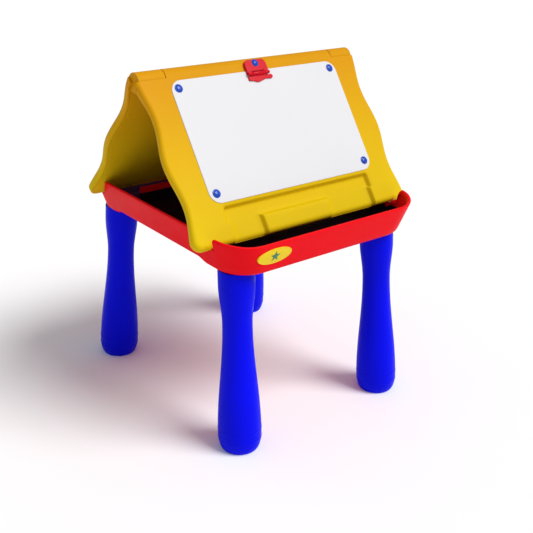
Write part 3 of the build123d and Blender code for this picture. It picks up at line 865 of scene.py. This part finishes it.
def backing_sheet(name, node, body, back):
    """Thin sheet that closes a panel's inner side, following its outline just inside the rim."""
    top, low = BARREL_R + BACKING_INSET, PANEL_LENGTH - BACKING_INSET
    corner = PANEL_CORNER_R - BACKING_INSET
    side = [(edge_x(s) - BACKING_INSET, s) for s in spread(top, low - corner, 36)]
    end_x = side[-1][0]
    side += [(end_x - corner * (1 - math.cos(a)), low - corner * (1 - math.sin(a)))
             for a in (math.radians(k) for k in range(9, 91, 9))]
    outline = side + [(-x, s) for x, s in reversed(side)]
    shape = Mesh()
    rings = []
    for shrink, h in ((0, INNER_FACE), (0, 1.8 * MM), (0.25 * MM, 1.55 * MM), (0.6 * MM, 1.45 * MM)):
        rings.append([on_board(x - math.copysign(shrink, x), s - shrink * (1 if s > 0.2 else -1), h,
                               back) for x, s in outline])
    shape.tube(rings)
    return make_piece(name, shape.verts, shape.faces, body, YELLOW, [node])


panel_shell("front_panel_shell", "front_panel", "front_easel", front=True)
panel_shell("back_panel_shell", "back_panel", "back_easel", front=False)
backing_sheet("front_backing_sheet", "front_panel_backing", "front_easel", back=False)
backing_sheet("back_backing_sheet", "back_panel_backing", "back_easel", back=True)


# ---- Boards and rivets ----
def board_sheet(name, node, body, material, back):
    """Thin sheet with rounded corners and a softened edge, lying on the panel's face."""
    half_s = (BOARD_SPAN[1] - BOARD_SPAN[0]) / 2
    middle = (BOARD_SPAN[1] + BOARD_SPAN[0]) / 2
    outline = []
    for corner, (sx, ss) in enumerate(((1, 1), (-1, 1), (-1, -1), (1, -1))):
        for step in range(13):
            a = math.radians(90 * corner + 7.5 * step)
            outline.append((sx * (BOARD_HALF_W - BOARD_CORNER_R), ss * (half_s - BOARD_CORNER_R),
                            math.cos(a), math.sin(a)))
    rings = []
    for radius, h in ((BOARD_CORNER_R, BARREL_R + 0.03 * MM),
                      (BOARD_CORNER_R, BOARD_FACE - 0.5 * MM),
                      (BOARD_CORNER_R - 0.15 * MM, BOARD_FACE - 0.15 * MM),
                      (BOARD_CORNER_R - 0.5 * MM, BOARD_FACE),
                      (BOARD_CORNER_R - 2.5 * MM, BOARD_FACE)):
        rings.append([on_board(cx + radius * ca, middle + cs + radius * sa, h, back)
                      for cx, cs, ca, sa in outline])
    shape = Mesh()
    shape.tube(rings)
    return make_piece(name, shape.verts, shape.faces, body, material, [node])


RIVET_PROFILE = ((10.8, 0.0), (10.8, 0.7), (10.3, 1.3), (9.2, 1.6), (8.2, 1.7), (7.7, 2.0),
                 (7.0, 2.9), (5.6, 3.5), (3.6, 3.85), (1.6, 4.0), (0.5, 4.02))
RIVET_SIDES = 48
RIVET_SCALE = 0.9              # of the profile above


def rivet_head(shape, x, s, h, back):
    """Domed push-rivet head with a stepped skirt."""
    rings = []
    size = RIVET_SCALE * MM
    for radius, rise in RIVET_PROFILE:
        ring = []
        for i in range(RIVET_SIDES):
            a = 2 * math.pi * i / RIVET_SIDES
            ring.append(on_board(x + radius * size * math.cos(a),
                                 s + radius * size * math.sin(a), h + rise * size, back))
        rings.append(ring)
    shape.tube(rings)


def board_rivets(name, node, body, back):
    shape = Mesh()
    for x, s in RIVET_PLACES:
        rivet_head(shape, x, s, BOARD_FACE + 0.01 * MM, back)
    return make_piece(name, shape.verts, shape.faces, body, RIVET, [node])


board_sheet("whiteboard_sheet", "whiteboard", "front_easel", WHITEBOARD, False)
board_sheet("chalkboard_sheet", "chalkboard", "back_easel", CHALKBOARD, True)
board_rivets("front_rivet_heads", "front_board_rivets", "front_easel", False)
board_rivets("back_rivet_heads", "back_board_rivets", "back_easel", True)


# ---- Paper clip ----
CLIP_HALF_W = 30.0 * MM
CLIP_SPAN = (-9.0 * MM, 25.0 * MM)
CLIP_FACE = 29.0 * MM
CLIP_CORNER_R = 12.0 * MM
CLIP_BARREL_R = 4.2 * MM
KNUCKLE_HALF_X = 17.6 * MM     # the lip's knuckle, between the plate's two lugs
KNUCKLE_ROOM = (18.0 * MM, 19.0 * MM)
LIP_H = (23.8 * MM, 26.8 * MM)
LIP_TOP_S = 29.8 * MM
ARM_SIZE = (5.0 * MM, 4.6 * MM)
ARM_PLACE = (28.0 * MM, 26.3 * MM)   # joins the lip to its knuckle
ARM_EDGE_R = 1.0 * MM
PLATE_SOFTNESS = 1.2 * MM
LIP_SOFTNESS = 0.7 * MM
SOFTEN_ANGLE = math.radians(40.0)
ROLL_END_R = 0.8 * MM
ROLL_SIDES = 32
LIP_EDGE = ((-30, 39), (-24, 40.4), (-17, 41), (-11, 43.6), (-6, 44.8), (0, 43.9), (7, 42), (13, 40),
            (18, 39), (26, 39.4), (33, 40), (36.6, 38.7), (38.6, 35.8), (38.6, 33), (36.6, 30.6),
            (33, 29.9))


def soften(piece, width):
    """Rounds the sharp edges of a piece."""
    bevel = piece.modifiers.new("soft_edges", "BEVEL")
    bevel.width = width
    bevel.segments = 3
    bevel.limit_method = "ANGLE"
    bevel.angle_limit = SOFTEN_ANGLE
    bevel.use_clamp_overlap = True


def under_plate(s):
    """Where the clip plate meets what it lies on: the hinge barrel, then the panel and the board."""
    barrel = math.sqrt(BARREL_R ** 2 - min(s, 0.0) ** 2)
    return barrel + 0.1 * MM + (BOARD_FACE - BARREL_R) * step_up(s, 13 * MM, 2 * MM)


def roll(shape, x0, x1):
    """Part of the clip's hinge barrel between two places across."""
    rings = []
    end = ROLL_END_R
    for x, radius in ((x0, CLIP_BARREL_R - end), (x0 + 0.3 * end, CLIP_BARREL_R - 0.3 * end),
                      (x0 + end, CLIP_BARREL_R), (x1 - end, CLIP_BARREL_R),
                      (x1 - 0.3 * end, CLIP_BARREL_R - 0.3 * end), (x1, CLIP_BARREL_R - end)):
        rings.append([on_board(x, CLIP_SPAN[1] + radius * math.cos(a), CLIP_FACE + radius * math.sin(a))
                      for a in (2 * math.pi * i / ROLL_SIDES for i in range(ROLL_SIDES))])
    shape.tube(rings)


def clip_plate():
    top, low = CLIP_SPAN
    room_x, room_s = KNUCKLE_ROOM
    right = [(CLIP_HALF_W - CLIP_CORNER_R * (1 - math.sin(a)), top + CLIP_CORNER_R * (1 - math.cos(a)))
             for a in (math.radians(k) for k in range(0, 91, 9))]
    right += [(CLIP_HALF_W, low), (room_x, low), (room_x, room_s)]
    outline = right + [(-x, s) for x, s in reversed(right)]
    shape = Mesh()
    shape.tube([[on_board(x, s, under_plate(s)) for x, s in outline],
                [on_board(x, s, CLIP_FACE) for x, s in outline]])
    for sign in (-1, 1):
        roll(shape, *sorted((sign * room_x, sign * CLIP_HALF_W)))
    piece = make_piece("clip_plate", shape.verts, shape.faces, "front_easel", CLIP,
                       ["clip_base"])
    soften(piece, PLATE_SOFTNESS)


def clip_lip():
    outline = [(x * MM, s * MM) for x, s in LIP_EDGE]
    outline += [(KNUCKLE_HALF_X, LIP_TOP_S), (-KNUCKLE_HALF_X, LIP_TOP_S), (-CLIP_HALF_W, LIP_TOP_S)]
    shape = Mesh()
    shape.tube([[on_board(x, s, h) for x, s in outline] for h in LIP_H])
    roll(shape, -KNUCKLE_HALF_X, KNUCKLE_HALF_X)
    arm = rounded_bar((2 * KNUCKLE_HALF_X, *ARM_SIZE), ARM_EDGE_R)
    shape.tube([[on_board(x, s + ARM_PLACE[0], h + ARM_PLACE[1]) for x, s, h in ring] for ring in arm])
    piece = make_piece("clip_lip_sheet", shape.verts, shape.faces, "clip_lip", CLIP,
                       ["clip_jaw"])
    soften(piece, LIP_SOFTNESS)


clip_plate()
clip_lip()


# ---- Badge on the tray's front wall ----
BADGE_X = -168.0 * MM
BADGE_Z = 476.0 * MM
BADGE_HALF = (45.0 * MM, 20.0 * MM)
STAR_R = (13.0 * MM, 5.5 * MM)
BADGE_PROFILE = ((1.0, -3.0), (1.0, 0.7), (0.99, 1.15), (0.965, 1.35), (0.94, 1.2), (0.92, 1.0),
                 (0.88, 1.12), (0.7, 1.55), (0.45, 1.85), (0.2, 1.97), (0.03, 2.0))


def on_badge(x, y, rise):
    """World place of a point on the badge: across, up the wall and out from it."""
    flare = (TRAY_FRONT_Y[1] - TRAY_FRONT_Y[0]) / (TRAY_TOP_Z - TRAY_BOTTOM_Z)
    out = Vector((0, -1, flare)).normalized()
    up = Vector((0, flare, 1)).normalized()
    wall = Vector((BADGE_X, by_height(TRAY_FRONT_Y, BADGE_Z), BADGE_Z))
    return tuple(wall + Vector((x, 0, 0)) + up * y + out * rise)


def badge():
    turns = [2 * math.pi * i / 96 for i in range(96)]
    plate = Mesh()
    plate.tube([[on_badge(BADGE_HALF[0] * size * math.cos(a), BADGE_HALF[1] * size * math.sin(a),
                          rise * MM) for a in turns] for size, rise in BADGE_PROFILE])
    make_piece("badge_plate", plate.verts, plate.faces, "table", BADGE, ["badge"])
    star = Mesh()
    rings = []
    for size, rise in ((1.0, 1.0), (1.0, 2.2), (0.9, 2.6), (0.5, 2.8), (0.05, 2.9)):
        rings.append([on_badge(STAR_R[i % 2] * size * math.sin(math.pi * i / 5),
                               STAR_R[i % 2] * size * math.cos(math.pi * i / 5), rise * MM)
                      for i in range(10)])
    star.tube(rings)
    make_piece("badge_star", star.verts, star.faces, "table", STAR)


badge()


# ---- CAD nodes that keep their shape ----
KEPT = {"ridge_pin_left": YELLOW, "ridge_pin_right": YELLOW, "clip_rivet": RIVET, "clip_pin": STEEL,
        "clip_spring": STEEL}


def keep(name, material):
    mesh = NODES[name].data
    mesh.materials.clear()
    mesh.materials.append(material)
    mesh.set_sharp_from_angle(angle=math.radians(SHARP_ANGLE))


for kept_name, kept_material in KEPT.items():
    keep(kept_name, kept_material)


# ---- Floor, light and camera ----
def floor_material():
    n = Nodes("pale_floor")
    place = n.add("ShaderNodeTexCoord").outputs["Object"]
    n.link(n.mix(n.noise(place, 2.0), (0.90, 0.90, 0.90, 1), (0.93, 0.93, 0.93, 1)),
           n.shader.inputs["Base Color"])
    n.shader.inputs["Roughness"].default_value = 0.9
    n.shader.inputs["Specular IOR Level"].default_value = 0.1
    return n.material


FLOOR_HALF = 60.0


def floor():
    mesh = bpy.data.meshes.new("studio_floor")
    corners = [(x, y, 0.0) for x, y in ((-1, -1), (1, -1), (1, 1), (-1, 1))]
    mesh.from_pydata([(x * FLOOR_HALF, y * FLOOR_HALF, z) for x, y, z in corners], [], [(0, 1, 2, 3)])
    mesh.materials.append(floor_material())
    plane = bpy.data.objects.new("studio_floor", mesh)
    bpy.context.scene.collection.objects.link(plane)


SKY_STRENGTH = 0.44
SUN_TRAVEL = (-0.34, 0.52, -0.78)   # from the upper right, in front of the whiteboard
SUN_STRENGTH = 2.75
SUN_ANGLE = math.radians(32.0)


def studio():
    world = bpy.data.worlds.new("studio")
    bpy.context.scene.world = world
    world.use_nodes = True
    background = world.node_tree.nodes["Background"]
    background.inputs["Color"].default_value = (1.0, 1.0, 1.0, 1.0)
    background.inputs["Strength"].default_value = SKY_STRENGTH
    sun = bpy.data.lights.new("key", "SUN")
    sun.energy = SUN_STRENGTH
    sun.angle = SUN_ANGLE
    light = bpy.data.objects.new("key", sun)
    light.rotation_euler = Vector(SUN_TRAVEL).to_track_quat("-Z", "Y").to_euler()
    bpy.context.scene.collection.objects.link(light)
    bpy.context.scene.view_settings.view_transform = "Standard"


CAMERA_PLACE = Vector((-1.21924, -1.58593, 1.18063))
CAMERA_FORWARD = Vector((0.5766, 0.7094, -0.4055))
CAMERA_UP = Vector((0.2340, 0.3321, 0.9138))
LENS_MM = 58.13
SENSOR_MM = 36.0


def camera():
    data = bpy.data.cameras.new("photo_view")
    data.lens = LENS_MM
    data.sensor_width = SENSOR_MM
    eye = bpy.data.objects.new("photo_view", data)
    back = -CAMERA_FORWARD.normalized()
    right = CAMERA_UP.cross(back).normalized()
    up = back.cross(right)
    eye.matrix_world = Matrix.Translation(CAMERA_PLACE) @ Matrix((right, up, back)).transposed().to_4x4()
    bpy.context.scene.collection.objects.link(eye)
    bpy.context.scene.camera = eye


floor()
studio()
camera()
